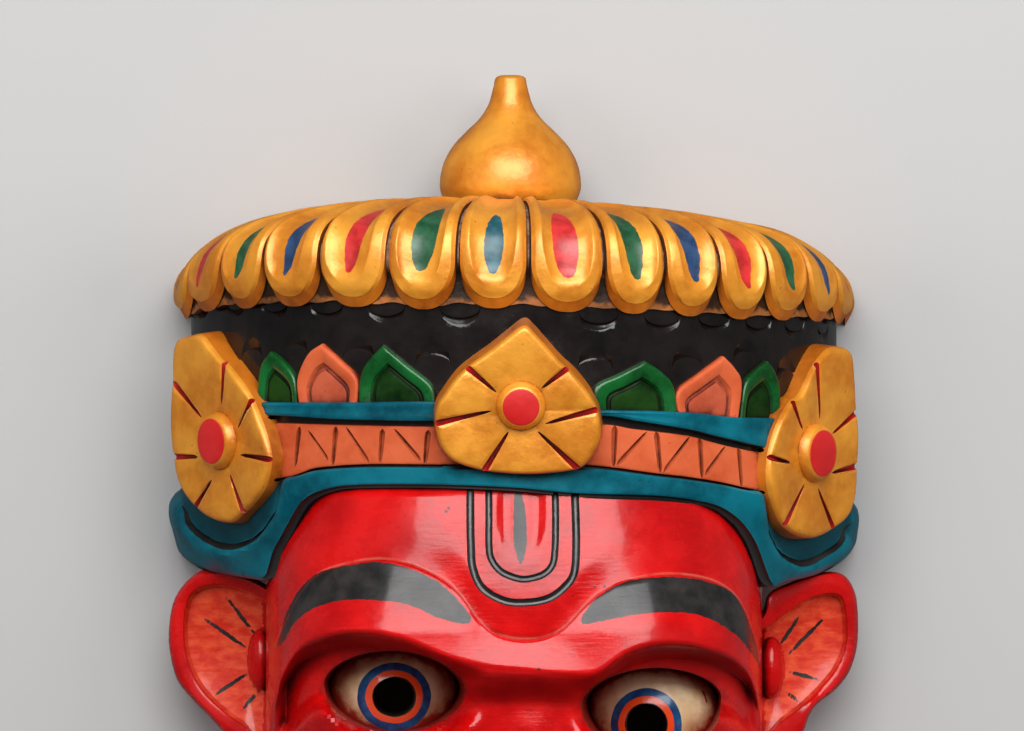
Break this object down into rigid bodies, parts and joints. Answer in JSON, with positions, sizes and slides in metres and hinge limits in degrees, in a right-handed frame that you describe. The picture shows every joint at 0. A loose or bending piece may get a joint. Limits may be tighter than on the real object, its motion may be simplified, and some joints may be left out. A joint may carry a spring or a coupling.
{
  "type": "carved wooden face mask",
  "caption": "Carved and painted wooden face mask with a round crown, side flowers, large ears and a hollow back; lies on its back rim or hangs on a wall.",
  "frame": {"origin": "middle of the mask's outline, on the plane of the flat back rim that it lies on", "axes": "+Z out of the face, +Y towards the crown, +X to the right of the face as it is looked at"},
  "size_m": [0.235, 0.3484, 0.1263],
  "materials": {
    "painted_wood": "hand-painted wood: glossy red face, black drum, satin gold crown, teal and orange bands, bare wood inside"
  },
  "bodies": {
    "root": {"carved_mask": "painted_wood"}
  },
  "joints": []
}
